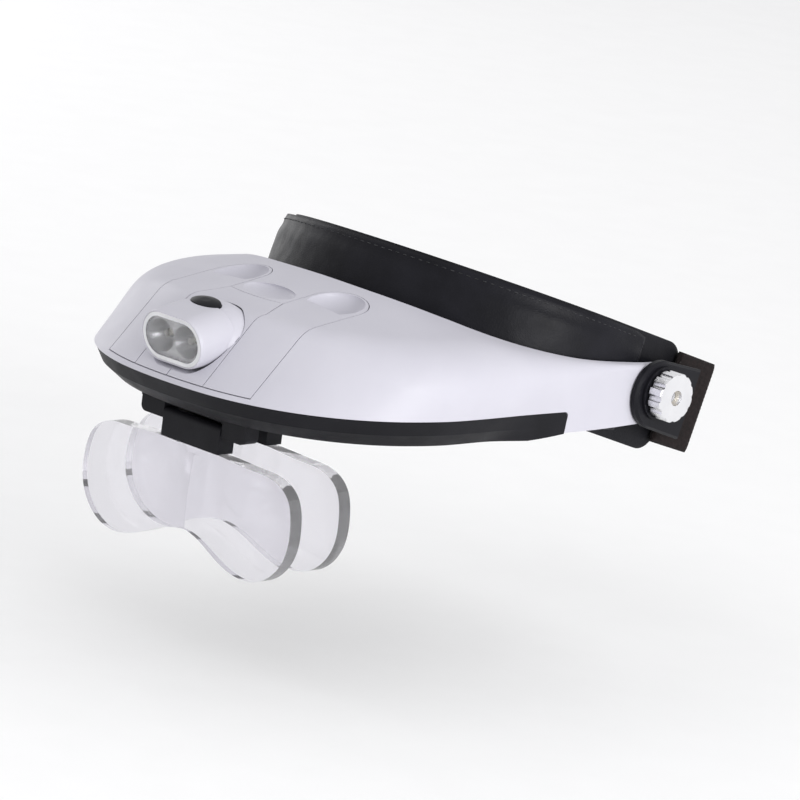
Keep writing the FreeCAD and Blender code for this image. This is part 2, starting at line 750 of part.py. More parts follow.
def build_tray():
    """A tray with one trough for each cell, on a hollow foot that stands on the housing's floor."""
    length = dim("cell_length") + 5.0
    back = CELL_BACK + 5.1
    half = cell_middle + dim("cell_radius") + TRAY_WALL + 0.4
    tray = solid_box((-half, back - length - 2 * TRAY_WALL, floor_top), (half, back, CELL_LEVEL + 1.5))
    hollow_top = CELL_LEVEL - dim("cell_radius") - TRAY_WALL - 0.4
    tray = tray.cut(solid_box((-half + 2, back - length, floor_top - 1), (half - 2, back - 2, hollow_top)))
    inner = cell_middle - dim("cell_radius") - TRAY_WALL - 0.4
    tray = tray.cut(solid_box((-inner, back - length - 20, floor_top - 1), (inner, back + 2, 20)))
    for name, side in SIDES:
        start = V(side * cell_middle, back - TRAY_WALL, CELL_LEVEL)
        trough = Part.makeCylinder(dim("cell_radius") + 0.4, length, start, Y_AXIS * -1)
        above = solid_box(
            (-dim("cell_radius") - 0.4, back - TRAY_WALL - length, CELL_LEVEL),
            (dim("cell_radius") + 0.4, back - TRAY_WALL, CELL_LEVEL + 20),
        )
        above.translate(V(side * cell_middle, 0, 0))
        tray = tray.cut(trough.fuse(above))
    bridge = solid_box((-inner - 1, back - 3.0, floor_top), (inner + 1, back, floor_top + 6))
    feature("battery_tray", tray.fuse(bridge).common(visor_inside).removeSplitter())


build_tray()

for name, side in SIDES:
    can = cylinder(
        "can_" + name,
        "cell_radius",
        "cell_length",
        place(side * cell_middle, CELL_BACK, CELL_LEVEL, Y_AXIS * -1),
    )
    nub = cylinder(
        "nub_" + name,
        "cell_radius * 0.36",
        "cell_length + 1.0",
        place(side * cell_middle, CELL_BACK, CELL_LEVEL, Y_AXIS * -1),
    )
    node(fuse("cell_" + name, can, nub), "battery_" + name)


def coil(radius, wire, length, turns, base, direction):
    """A contact spring: a helix of round wire."""
    helix = Part.makeHelix(length / turns, length, radius)
    section = Part.Wire(Part.makeCircle(wire, V(radius, 0, 0), Y_AXIS))
    spring = Part.Wire(helix).makePipeShell([section], True, True)
    spring.Placement = FreeCAD.Placement(base, FreeCAD.Rotation(Z_AXIS, direction))
    return spring


springs = []
strips = []
for name, side in SIDES:
    base = V(side * cell_middle, CELL_BACK + 3.1, CELL_LEVEL)
    springs.append(coil(3.0, 0.35, 2.7, 2.5, base, Y_AXIS * -1))
    front = CELL_BACK + 5.1 - TRAY_WALL - dim("cell_length") - 5.0
    low = (side * cell_middle - 3.5, front + 0.02, CELL_LEVEL - 3.5)
    strips.append(solid_box(low, (low[0] + 7.0, low[1] + 0.4, CELL_LEVEL + 4.0)))
feature("contact_springs", Part.Compound(springs))
feature("contact_strips", Part.Compound(strips))

board = new_body("circuit_board")
board_sketch = new_sketch(board, "XY_Plane", "board_outline", -6.5)
add_rectangle(board_sketch, "lamp_half_width * 1.5", "lamp_half_width * 1.2", -12.75, -128.0)
pad(board, board_sketch, "shell_wall * 0.7", "board_pad")
posts = [
    Part.makeCylinder(1.8, -6.5 - floor_top, V(x, y, floor_top))
    for x, y in ((-10, -125), (10, -125), (-10, -111), (10, -111))
]
feature("board_posts", Part.Compound(posts))

# ---------------------------------------------------------------- lamp

def stadium_wire(radius, distance):
    half = dim("led_spacing") / 2
    right = Part.Arc(V(half, -distance, -radius), V(half + radius, -distance, 0), V(half, -distance, radius))
    left = Part.Arc(
        V(-half, -distance, radius), V(-half - radius, -distance, 0), V(-half, -distance, -radius)
    )
    top = Part.LineSegment(V(half, -distance, radius), V(-half, -distance, radius))
    low = Part.LineSegment(V(-half, -distance, -radius), V(half, -distance, -radius))
    return Part.Wire([right.toShape(), top.toShape(), left.toShape(), low.toShape()])


def build_lamp():
    barrel = lamp_barrel(0.0)
    reach = dim("lamp_window_reach")
    outer = dim("neck_radius")
    rings = [stadium_wire(outer, 3.0), stadium_wire(outer, 12.0), stadium_wire(outer - 0.3, reach - 1.2)]
    neck = Part.makeLoft(rings, True, False)
    face_rings = [stadium_wire(outer - 0.3, reach - 1.2), stadium_wire(outer - 0.7, reach)]
    lip = Part.makeLoft(face_rings, True, True)
    nose = neck.fuse(lip)
    nose.translate(V(0, 0, dim("lamp_rise")))
    body = barrel.fuse(nose)
    front_bore = stadium(dim("window_radius") + 0.7, reach - 2.0, reach + 2.0)
    bore = front_bore.fuse(stadium(dim("window_radius") - 0.4, 2.0, reach + 2.0))
    bore.translate(V(0, 0, dim("lamp_rise")))
    body = body.cut(bore)
    body = body.cut(Part.makeCylinder(1.26, 60, V(-30, 0, 0), X_AXIS))
    return body.removeSplitter()


BUTTON_TURN = -8.4


def button_frame(distance):
    """The frame of the button on the lamp's barrel, in the lamp's own frame."""
    turn = FreeCAD.Rotation(X_AXIS, -BUTTON_TURN)
    return FreeCAD.Placement(turn.multVec(V(0, 0, distance)), turn)


def oval(half_x, half_y, height):
    """An elliptical disc from the origin upwards."""
    curve = Part.Ellipse(V(), half_x, half_y)
    return Part.Face(Part.Wire(curve.toShape())).extrude(V(0, 0, height))


def build_button():
    cap = oval(7.0, 3.6, 3.2)
    crown = scoop(0, 0, 0.6, 9.0, 5.4, 2.7)
    return cap.common(crown)


lamp_body_shape = build_lamp()
button_hole = oval(7.25, 3.85, 7.0).fuse(solid_box((-3.1, -2.3, -2.4), (3.1, 2.3, 0.5)))
button_hole.Placement = button_frame(dim("lamp_radius") - 4.6)
lamp_body_shape = lamp_body_shape.cut(button_hole)
feature("lamp_body", lamp_body_shape, lamp_placement())

window_reach = dim("lamp_window_reach")
bezel_shape = stadium(dim("window_radius") + 0.6, window_reach - 2.0, window_reach - 0.2)
bezel_shape = bezel_shape.cut(stadium(dim("window_radius") - 0.9, window_reach - 3.0, window_reach + 1.0))
feature("lamp_bezel", bezel_shape, beam_placement())

window_shape = stadium(dim("window_radius") - 0.92, window_reach - 1.5, window_reach - 0.5)
feature("lamp_window", window_shape, beam_placement())


def build_reflector():
    """Twin cups, each a cone-like bowl round one LED, in one bright moulding."""
    radius = dim("window_radius") - 0.42
    back = window_reach - 11.0
    block = stadium(radius, back, window_reach - 2.05)
    depth = window_reach - 2.05 - (back + 1.2)
    for side in (-1, 1):
        centre = V(side * dim("led_spacing") / 2, -(window_reach - 2.0), 0)
        cup = Part.makeCone(6.1, 2.0, depth, centre, Y_AXIS)
        bore = Part.makeCylinder(1.6, 4.0, V(centre.x, -(back + 2.0), 0), Y_AXIS)
        block = block.cut(cup.fuse(bore))
    return block


feature("lamp_reflector", build_reflector(), beam_placement())

led_solids = []
for side in (-1, 1):
    base = V(side * dim("led_spacing") / 2, -(window_reach - 10.9), 0)
    stem = Part.makeCylinder(1.5, 3.6, base, Y_AXIS * -1)
    tip = Part.makeSphere(1.5, base + V(0, -3.6, 0))
    led_solids.append(stem.fuse(tip))
feature("lamp_leds", Part.Compound(led_solids), beam_placement())

board_shape = stadium(dim("window_radius") - 0.42, window_reach - 12.4, window_reach - 11.05)
feature("lamp_board", board_shape, beam_placement())

feature("power_button", build_button(), lamp_placement().multiply(button_frame(dim("lamp_radius") - 2.2)))
switch_shape = solid_box((-3.0, -2.2, -2.4), (3.0, 2.2, 0.2)).fuse(Part.makeCylinder(1.2, 1.2, V(0, 0, 0.2)))
feature("power_switch", switch_shape, lamp_placement().multiply(button_frame(dim("lamp_radius") - 4.6)))

for name, side in SIDES:
    axle = cylinder(
        "axle_" + name,
        "lamp_pivot_radius",
        "3.7",
        place(side * 13.9, LAMP_AXIS.y, LAMP_AXIS.z, X_AXIS * side),
    )
    node(axle, "lamp_pivot_" + name)


def build_cradle():
    """A pressed plate that stands on the housing's floor and holds one of the lamp's pivots."""
    plate = solid_box((17.02, -155.0, floor_top), (17.62, -145.0, -4.0))
    arm = solid_box((17.02, -152.2, floor_top), (17.62, -147.8, LAMP_AXIS.z))
    head = Part.makeCylinder(2.2, 0.6, V(17.02, LAMP_AXIS.y, LAMP_AXIS.z), X_AXIS)
    hole = Part.makeCylinder(dim("lamp_pivot_radius") + 0.02, 10, V(14, LAMP_AXIS.y, LAMP_AXIS.z), X_AXIS)
    return plate.fuse([arm, head]).removeSplitter().cut(hole)


cradle_shape = build_cradle()
for name, side in SIDES:
    feature("lamp_cradle_" + name, cradle_shape if side > 0 else cradle_shape.mirror(V(), X_AXIS))

# ---------------------------------------------------------------- lens rail, holders and lens plates


def lens_outline(y):
    """The outline of a lens plate: two lobes joined by a shallow nose notch, in an upright plane."""
    half = dim("lens_half_width")
    top = dim("lens_top")
    low = dim("lens_bottom")
    right_half = [
        V(0, y, top - 0.6),
        V(16, y, top + 0.1),
        V(32, y, top - 0.5),
        V(44, y, top - 1.7),
        V(51.0, y, top - 6.4),
        V(half, y, top - 15.6),
        V(half - 0.8, y, top - 27.0),
        V(48.5, y, low + 6.0),
        V(39.5, y, low + 0.6),
        V(30.0, y, low + 0.2),
        V(19.5, y, low + 3.4),
        V(10.5, y, low + 7.4),
        V(0, y, low + 9.4),
    ]
    left_half = [V(-point.x, point.y, point.z) for point in reversed(right_half[1:-1])]
    curve = Part.BSplineCurve()
    curve.interpolate(right_half + left_half, PeriodicFlag=True)
    return Part.Wire(curve.toShape())


def build_lens(reach):
    """A plate with a flat back and two domed fronts that meet in a crease in the middle."""
    half_space = solid_box((0, -260, -120), (90, 0, 20))
    back = -reach + dim("lens_edge")
    curve = dim("lens_curve")
    plate = Part.Face(lens_outline(back)).extrude(V(0, -dim("lens_edge") - 6.0, 0))
    middle_height = (dim("lens_top") + dim("lens_bottom")) / 2 + 1.0
    crown = 2.6
    domes = []
    for side in (-1, 1):
        centre = V(side * dim("lens_centre"), back - dim("lens_edge") - crown + curve, middle_height)
        ball = Part.makeSphere(curve, centre)
        half = half_space if side > 0 else half_space.mirror(V(), X_AXIS)
        domes.append(plate.common(half).common(ball))
    lens = domes[0].fuse(domes[1])
    tongue_half = dim("tongue_half_width")
    thick = dim("tongue_thickness")
    tongue_top = dim("lens_top") + dim("tongue_height")
    tongue = solid_box(
        (-tongue_half, back - 1.0 - thick, dim("lens_top") - 3.0),
        (tongue_half, back - 1.0, tongue_top),
    )
    return lens.fuse(tongue).removeSplitter()


def build_holder(reach, pin_level):
    """A box-like holder with a slot for the lens plate's tongue in its underside."""
    half = dim("holder_half_width")
    back = -reach + dim("lens_edge") + 0.8
    front = back - dim("holder_depth")
    block = solid_box((-half, front, dim("holder_bottom")), (half, back, dim("holder_top")))
    thick = dim("tongue_thickness")
    slot_back = -reach + dim("lens_edge") - 1.0 + 0.2
    slot_top = dim("lens_top") + dim("tongue_height") + 0.3
    slot = solid_box(
        (-dim("tongue_half_width") - 0.2, slot_back - thick - 0.9, dim("holder_bottom") - 5),
        (dim("tongue_half_width") + 0.2, slot_back, slot_top),
    )
    block = block.cut(slot)
    pin_hole = Part.makeCylinder(dim("hinge_pin_radius") + 0.06, 80, V(-40, front + 2.7, pin_level), X_AXIS)
    return block, pin_hole, front, back


PIN_LEVEL = dim("holder_top") - 2.4


def build_lens_set(name, rise):
    """A lens plate, its holder and the leaf spring that grips its tongue."""
    reach = dim(name + "_lens_reach")
    lift = place(0, 0, rise)
    feature(name + "_lens", build_lens(reach), lift)
    holder, pin_hole, front, back = build_holder(reach, PIN_LEVEL)
    if name == "front":
        edges = [
            edge
            for edge in holder.Edges
            if abs(edge.CenterOfMass.y - front) < 1e-4
            and abs(edge.CenterOfMass.z - dim("holder_top")) < 1e-4
        ]
        holder = holder.makeFillet(2.2, edges).cut(pin_hole)
    feature(name + "_lens_holder", holder.removeSplitter(), lift)
    face = -reach + dim("lens_edge") - 0.8 - dim("tongue_thickness") - 0.9
    low = dim("holder_bottom")
    leaf = solid_box((-8, face + 0.02, low + 1.2), (8, face + 0.42, low + 5.6))
    feature(name + "_grip_spring", leaf, lift)


build_lens_set("front", 0.0)
build_lens_set("rear", dim("rear_lens_rise"))

front_pin_y = -dim("front_lens_reach") + dim("lens_edge") + 0.8 - dim("holder_depth") + 2.7
pin = cylinder(
    "hinge_pin",
    "hinge_pin_radius",
    "2 * holder_half_width + 9.0",
    place(-dim("holder_half_width") - 4.5, front_pin_y, PIN_LEVEL, X_AXIS),
)
node(pin, "front_hinge_pin")


def rail_lug(side, front, back, low):
    """One end of a cross bar, with its lower outer edge rounded."""
    inner = dim("holder_half_width") + 0.3
    bar = dim("bar_half_width")
    lug = solid_box((inner, front, low), (bar, back, PLATE_BOTTOM + 0.2))
    edges = [
        edge
        for edge in lug.Edges
        if abs(edge.CenterOfMass.x - bar) < 1e-4 and abs(edge.CenterOfMass.z - low) < 1e-4
    ]
    lug = lug.makeFillet(2.4, edges)
    return lug if side > 0 else lug.mirror(V(), X_AXIS)


PLATE_BOTTOM = -18.2
SCREW_Y = -139.5
SCREW_X = (-9.5, 9.5)


def build_rail():
    """The rail under the housing: two cross bars on a plate, with lugs for the hinge pin."""
    bar = dim("bar_half_width")
    front = -dim("front_lens_reach") + dim("lens_edge") + 0.8 - dim("holder_depth")
    back = -dim("rear_lens_reach") + dim("lens_edge") + 0.8
    rear_front = back - dim("holder_depth")
    plate = solid_box((-bar, front, PLATE_BOTTOM), (bar, back, floor_low - 0.02))
    parts = []
    for side in (-1, 1):
        parts.append(rail_lug(side, front + 0.4, front + 7.4, -24.0))
        parts.append(rail_lug(side, rear_front + 0.4, back - 0.4, -22.5))
    for x in SCREW_X:
        parts.append(Part.makeCylinder(4.0, 8.0, V(x, SCREW_Y, -26.0)))
    rail = plate.fuse(parts).removeSplitter()
    half = dim("holder_half_width")
    pin_start = V(-half - 4.55, front_pin_y, PIN_LEVEL)
    rail = rail.cut(Part.makeCylinder(dim("hinge_pin_radius") + 0.02, 2 * half + 9.1, pin_start, X_AXIS))
    for x in SCREW_X:
        rail = rail.cut(Part.makeCylinder(1.4, 20, V(x, SCREW_Y, -27)))
        rail = rail.cut(Part.makeCylinder(2.7, 3.0, V(x, SCREW_Y, -26.5)))
    return rail


feature("lens_rail", build_rail())
rail_screws = []
nuts = []
for x in SCREW_X:
    shank = Part.makeCylinder(1.35, 12.4, V(x, SCREW_Y, -24.0))
    head = Part.makeCylinder(2.6, 1.4, V(x, SCREW_Y, -24.9))
    rail_screws.append(head.fuse(shank))
    corners = []
    for step in range(7):
        turn = step * math.pi / 3
        corners.append(V(x + 3.1 * math.cos(turn), SCREW_Y + 3.1 * math.sin(turn), floor_top + 0.02))
    nut = Part.Face(Part.makePolygon(corners)).extrude(V(0, 0, 2.1))
    nuts.append(nut.cut(Part.makeCylinder(1.37, 12, V(x, SCREW_Y, floor_top - 3))))
    housing.Shape = housing.Shape.cut(Part.makeCylinder(1.4, 10, V(x, SCREW_Y, floor_low - 3)))
feature("rail_screws", Part.Compound(rail_screws))
feature("rail_nuts", Part.Compound(nuts))

# ---------------------------------------------------------------- headband


def band_wire(half_width, reach, straight, back):
    """Half an ellipse round the forehead with straight legs, in plan, as an open list of edges."""
    ellipse = Part.Ellipse(V(0, -straight, 0), half_width, reach - straight)
    arc = Part.ArcOfEllipse(ellipse, math.pi, 2 * math.pi).toShape()
    left = Part.makeLine(V(half_width, -straight, 0), V(half_width, back, 0))
    right = Part.makeLine(V(-half_width, back, 0), V(-half_width, -straight, 0))
    return arc, left, right


def band_strip(outset, thickness, half_height, back):
    """A strip of the headband: outset from its nominal outside, open at the back."""
    half = dim("band_half_width") + outset
    reach = dim("band_reach") + outset
    straight = dim("band_straight")
    outer = band_wire(half, reach, straight, back)
    inner = band_wire(half - thickness, reach - thickness, straight, back)
    ends = [
        Part.makeLine(V(half - thickness, back, 0), V(half, back, 0)),
        Part.makeLine(V(-half, back, 0), V(-half + thickness, back, 0)),
    ]
    wire = Part.Wire(Part.__sortEdges__(list(outer) + list(inner) + ends))
    strip = Part.Face(wire).extrude(V(0, 0, 2 * half_height))
    strip.translate(V(0, 0, -half_height))
    return strip


def rounded_ends(strip, half_height, back, radius):
    """Round the upper and lower corners of a strip's two ends."""
    tool = solid_box((-120, back - radius, -half_height - 1), (120, back + 1, half_height + 1))
    keep = solid_box((-130, back - radius - 1, -half_height + radius), (130, back, half_height - radius))
    for level in (-half_height + radius, half_height - radius):
        keep = keep.fuse(Part.makeCylinder(radius, 260, V(-130, back - radius, level), X_AXIS))
    return strip.cut(tool.cut(keep))


cover_back = -7.0
pad_back = 20.9
stiffener_back = -10.0
cover_strip = band_strip(0.0, dim("cover_thickness"), dim("cover_half_height"), cover_back)
feature("headband_cover", cover_strip, tilted().multiply(place(0, 0, -0.4)))
pad_outset = -(dim("band_half_width") - dim("leg_inner") + 0.1)
pad_strip = band_strip(pad_outset, dim("pad_thickness"), dim("pad_half_height"), pad_back)
pad_strip = rounded_ends(pad_strip, dim("pad_half_height"), pad_back, 9.0)
feature("headband_pad", pad_strip, tilted().multiply(place(0, 0, -1.15)))
stiff_outset = -(dim("cover_thickness") + 0.1)
stiff_strip = band_strip(stiff_outset, 0.7, dim("cover_half_height") - 4.0, stiffener_back)
lap_rivets = [(-16.0, -6.0), (-16.0, 6.0)]
for y, z in lap_rivets:
    stiff_strip = stiff_strip.cut(Part.makeCylinder(1.52, 170, V(-85, y, z), X_AXIS))
feature("headband_stiffener", stiff_strip, tilted())

# ---------------------------------------------------------------- temple brackets, screws and knobs

cheek_inner = dim("cheek_inner")
cheek_radius = dim("cheek_radius")
leg_inner = dim("leg_inner")
leg_half = dim("leg_half_height")


def build_bracket():
    """The wearer's left bracket: a D-shaped cheek, a web behind the arm's end, and a leg."""
    thick = dim("cheek_thickness")
    middle = -0.95
    low = middle - cheek_radius
    high = middle + cheek_radius
    corners = [V(cheek_inner, 0, high), V(cheek_inner, dim("cheek_tail"), high + 1.35)]
    corners += [V(cheek_inner, dim("cheek_tail"), low), V(cheek_inner, 0, low)]
    edges = [Part.makeLine(corners[index], corners[index + 1]) for index in range(3)]
    edges.append(Part.Arc(corners[3], V(cheek_inner, -cheek_radius, middle), corners[0]).toShape())
    cheek = Part.Face(Part.Wire(edges)).extrude(V(thick, 0, 0))
    outer_face = cheek_inner + thick
    edges = [edge for edge in cheek.Edges if abs(edge.CenterOfMass.x - outer_face) < 1e-4]
    cheek = cheek.makeChamfer(0.9, edges)
    cheek = cheek.fuse(Part.makeCylinder(10.2, 1.4, V(outer_face - 0.2, 0, 0), X_AXIS))
    web = solid_box((leg_inner, 13.2, -leg_half), (cheek_inner + 0.5, 15.6, leg_half))
    leg = solid_box((leg_inner, -23.0, -leg_half), (leg_inner + dim("leg_thickness"), 30.0, leg_half))
    boss = Part.makeCylinder(dim("boss_radius"), 80.4 - leg_inner, V(leg_inner, 0, 0), X_AXIS)
    bracket = cheek.fuse([web, leg, boss]).removeSplitter()
    bracket = bracket.cut(Part.makeCylinder(dim("screw_radius") + 0.03, 20, V(leg_inner + 1.4, 0, 0), X_AXIS))
    bracket = bracket.cut(Part.makeCylinder(3.6, 1.9, V(leg_inner - 0.5, 0, 0), X_AXIS))
    for y, z in [(24.0, -6.0), (24.0, 6.0)] + lap_rivets:
        bracket = bracket.cut(Part.makeCylinder(1.52, 3, V(leg_inner - 1, y, z), X_AXIS))
    return bracket


bracket_shape = build_bracket()
for name, side in SIDES:
    shape = bracket_shape if side > 0 else bracket_shape.mirror(V(), X_AXIS)
    feature("temple_bracket_" + name, shape, tilted())

pins = []
for side in (-1, 1):
    for y, z in lap_rivets:
        pins.append(Part.makeCylinder(1.5, 1.76, V(side * (leg_inner + 0.02), y, z), X_AXIS * side))
feature("bracket_rivets", Part.Compound(pins), tilted())

for name, side in SIDES:
    shank = Part.makeCylinder(dim("screw_radius"), 16.9, V(leg_inner + 1.0, 0, 0), X_AXIS)
    head = Part.makeCylinder(3.5, 1.2, V(leg_inner + 0.15, 0, 0), X_AXIS)
    screw = head.fuse(shank)
    if side < 0:
        screw = screw.mirror(V(), X_AXIS)
    feature("pivot_screw_" + name, screw)

for name, side in SIDES:
    washers = []
    for start in (80.42, 84.15):
        ring = Part.makeCylinder(7.0, 0.5, V(start, 0, 0), X_AXIS)
        ring = ring.cut(Part.makeCylinder(dim("screw_radius") + 0.05, 3, V(start - 1, 0, 0), X_AXIS))
        washers.append(ring if side > 0 else ring.mirror(V(), X_AXIS))
    feature("friction_washers_" + name, Part.Compound(washers))


def build_knob(name, side):
    """A scalloped knob: a disc with flutes round its rim, a face recess and a bore for its insert."""
    knob = new_body("knob_" + name)
    start = dim("knob_inner")
    disc = new_sketch(knob, "YZ_Plane", "knob_disc_" + name, start)
    add_circle(disc, "knob_radius")
    disc_pad = pad(knob, disc, "knob_thickness", "knob_pad_" + name)
    doc.recompute()
    chamfer = knob.newObject("PartDesign::Chamfer", "knob_chamfer_" + name)
    face_edge = [
        "Edge%d" % (index + 1)
        for index, edge in enumerate(knob.Shape.Edges)
        if abs(edge.CenterOfMass.x - start - dim("knob_thickness")) < 1e-3
    ]
    chamfer.Base = (disc_pad, face_edge)
    chamfer.Size = 0.35
    knob.Tip = chamfer
    flute = new_sketch(knob, "YZ_Plane", "knob_flute_" + name, start + dim("knob_thickness"))
    add_circle(flute, "knob_flute_radius", 0.0, dim("knob_radius") + dim("knob_flute_radius") - 0.7)
    first = pocket(knob, flute, "knob_thickness", "knob_first_flute_" + name)
    flutes = knob.newObject("PartDesign::PolarPattern", "knob_flutes_" + name)
    flutes.Originals = [first]
    flutes.Axis = (disc, ["N_Axis"])
    flutes.Angle = 360
    flutes.Occurrences = int(dim("knob_flutes"))
    knob.Tip = flutes
    recess = new_sketch(knob, "YZ_Plane", "knob_recess_" + name, start + dim("knob_thickness"))
    add_circle(recess, "recess_radius")
    pocket(knob, recess, "knob_thickness + 1.0", "knob_recess_pocket_" + name)
    if side < 0:
        knob.Placement = FreeCAD.Placement(V(), FreeCAD.Rotation(Z_AXIS, 180))
    return knob


for name, side in SIDES:
    build_knob(name, side)
    ring = Part.makeCylinder(dim("recess_radius") - 0.03, 3.2, V(dim("knob_inner") + 0.3, 0, 0), X_AXIS)
    ring = ring.cut(Part.makeCylinder(dim("screw_radius") + 0.06, 9, V(dim("knob_inner") - 1, 0, 0), X_AXIS))
    feature("knob_insert_" + name, ring if side > 0 else ring.mirror(V(), X_AXIS))

# ---------------------------------------------------------------- rear strap


def build_strap():
    """The strap in plan: straight beside each bracket, a tight fold, and a long bow behind the head."""
    thick = dim("strap_thickness")
    outer_x = leg_inner + dim("leg_thickness") + 0.05 + thick
    straight_end = 36.3
    fold = 3.4
    turn = math.radians(55)
    centre = V(outer_x - fold, straight_end, 0)

    def side_edges(inset):
        radius = fold - inset
        start = V(outer_x - inset, 16.2, 0)
        corner = V(outer_x - inset, straight_end, 0)
        middle = centre + V(radius * math.cos(turn / 2), radius * math.sin(turn / 2), 0)
        end = centre + V(radius * math.cos(turn), radius * math.sin(turn), 0)
        return start, corner, middle, end

    def half_width_line(inset):
        start, corner, middle, end = side_edges(inset)
        radius_back = end.x / math.sin(math.pi / 2 - turn)
        top = V(0, end.y + radius_back * (1 - math.cos(math.pi / 2 - turn)), 0)
        other = [V(-point.x, point.y, 0) for point in (end, middle, corner, start)]
        return [
            Part.makeLine(start, corner),
            Part.Arc(corner, middle, end).toShape(),
            Part.Arc(end, top, other[0]).toShape(),
            Part.Arc(other[0], other[1], other[2]).toShape(),
            Part.makeLine(other[2], other[3]),
        ]

    outer = half_width_line(0.0)
    inner = half_width_line(thick)
    first = Part.makeLine(V(outer_x - thick, 16.2, 0), V(outer_x, 16.2, 0))
    last = Part.makeLine(V(-outer_x, 16.2, 0), V(-outer_x + thick, 16.2, 0))
    wire = Part.Wire(Part.__sortEdges__(outer + inner + [first, last]))
    half = dim("strap_half_height")
    strap = Part.Face(wire).extrude(V(0, 0, 2 * half))
    strap.translate(V(0, 0, -half))
    for side in (-1, 1):
        for z in (-6.0, 6.0):
            start = V(side * 70, 24.0, z)
            strap = strap.cut(Part.makeCylinder(1.5, 20, start, X_AXIS * side))
    return strap


feature("rear_strap", build_strap(), tilted())
rivets = []
for side in (-1, 1):
    for z in (-6.0, 6.0):
        start = V(side * (leg_inner - 0.6), 24.0, z)
        shaft = Part.makeCylinder(1.45, 4.3, start, X_AXIS * side)
        inner_head = Part.makeCylinder(2.6, 0.55, start, X_AXIS * side)
        outer_start = V(side * (leg_inner + dim("leg_thickness") + 0.07 + dim("strap_thickness")), 24.0, z)
        outer_head = Part.makeCylinder(2.6, 0.6, outer_start, X_AXIS * side)
        rivets.append(shaft.fuse([inner_head, outer_head]))
feature("strap_rivets", Part.Compound(rivets), tilted())

# ---------------------------------------------------------------- check and write

doc.recompute()
for obj in doc.Objects:
    if "Invalid" in obj.State or "Error" in obj.State:
        raise RuntimeError("%s failed: %s" % (obj.Label, obj.State))

os.makedirs("parts", exist_ok=True)
for obj in NODES:
    shape = obj.Shape
    if shape.isNull() or not shape.isValid() or shape.Volume <= 0:
        raise RuntimeError(obj.Label + " has no valid shape")
    solids = len(shape.Solids)
    print("%-24s %2d solids %9.1f mm3" % (obj.Label, solids, shape.Volume))
    shape.exportStep("parts/%s.step" % obj.Label)
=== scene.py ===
import math

import bpy
from mathutils import Matrix, Vector, noise


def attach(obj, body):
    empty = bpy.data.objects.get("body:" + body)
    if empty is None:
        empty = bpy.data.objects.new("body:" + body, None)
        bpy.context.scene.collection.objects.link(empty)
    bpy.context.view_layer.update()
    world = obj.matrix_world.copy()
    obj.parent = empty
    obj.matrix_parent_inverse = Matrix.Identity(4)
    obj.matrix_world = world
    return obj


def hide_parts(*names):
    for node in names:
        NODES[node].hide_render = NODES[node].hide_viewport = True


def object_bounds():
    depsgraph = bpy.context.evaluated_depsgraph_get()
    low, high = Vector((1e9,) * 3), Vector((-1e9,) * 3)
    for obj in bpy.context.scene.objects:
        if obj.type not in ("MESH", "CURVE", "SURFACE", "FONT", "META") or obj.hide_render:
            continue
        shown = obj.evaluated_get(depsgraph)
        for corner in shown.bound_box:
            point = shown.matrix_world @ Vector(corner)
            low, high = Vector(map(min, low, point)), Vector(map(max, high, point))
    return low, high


# Looks for a head visor magnifier: studio, materials, and the soft pieces round the head.

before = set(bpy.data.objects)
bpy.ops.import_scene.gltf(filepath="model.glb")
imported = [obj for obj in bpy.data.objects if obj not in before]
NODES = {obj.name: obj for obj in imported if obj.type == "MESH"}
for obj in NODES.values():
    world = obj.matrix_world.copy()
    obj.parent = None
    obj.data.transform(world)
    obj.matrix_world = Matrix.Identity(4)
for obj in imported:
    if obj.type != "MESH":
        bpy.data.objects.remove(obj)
cad_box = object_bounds()
MM = 0.001
FLOOR_DROP = 0.036  # room for the lens plates when the visor is tilted down

# ---------------------------------------------------------------- camera, light and floor


def make_camera():
    """A long lens in front of the wearer's left temple, a little above and rolled."""
    data = bpy.data.cameras.new("camera")
    data.sensor_width = 36.0
    data.lens = 234.0
    data.clip_end = 40.0
    camera = bpy.data.objects.new("camera", data)
    right = Vector((0.7128, 0.6889, 0.1313))
    up = Vector((-0.2461, 0.0704, 0.9667))
    back = Vector((0.6567, -0.7214, 0.2197))
    turn = Matrix((right, up, back)).transposed().to_4x4()
    camera.matrix_world = Matrix.Translation((1.2817, -1.4530, 0.4072)) @ turn
    bpy.context.scene.collection.objects.link(camera)
    bpy.context.scene.camera = camera


def add_light(name, place, size, power, colour=(1, 1, 1)):
    """A square area light that faces the object."""
    data = bpy.data.lights.new(name, "AREA")
    data.size = size
    data.energy = power
    data.color = colour
    light = bpy.data.objects.new(name, data)
    aim = Vector((0, -0.06, 0)) - Vector(place)
    light.matrix_world = Matrix.Translation(place) @ aim.to_track_quat("-Z", "Y").to_matrix().to_4x4()
    bpy.context.scene.collection.objects.link(light)


def make_studio():
    scene = bpy.context.scene
    scene.view_settings.view_transform = "Standard"
    scene.view_settings.look = "None"
    world = bpy.data.worlds.new("studio")
    scene.world = world
    world.use_nodes = True
    background = world.node_tree.nodes["Background"]
    background.inputs["Color"].default_value = (0.99, 0.99, 1.0, 1)
    background.inputs["Strength"].default_value = 0.84
    add_light("key", (-0.35, -0.5, 1.8), 1.3, 1.0)
    add_light("side", (2.0, -0.4, 0.30), 1.2, 33.0)
    add_light("far", (-1.9, 0.2, 0.45), 1.2, 7.0)
    level = cad_box[0][2] - FLOOR_DROP
    span = 9.0
    corners = [(-span, -span, level), (span, -span, level), (span, span, level), (-span, span, level)]
    mesh = bpy.data.meshes.new("floor")
    mesh.from_pydata(corners, [], [(0, 1, 2, 3)])
    floor = bpy.data.objects.new("floor", mesh)
    scene.collection.objects.link(floor)
    return floor


make_camera()
floor = make_studio()

# ---------------------------------------------------------------- materials


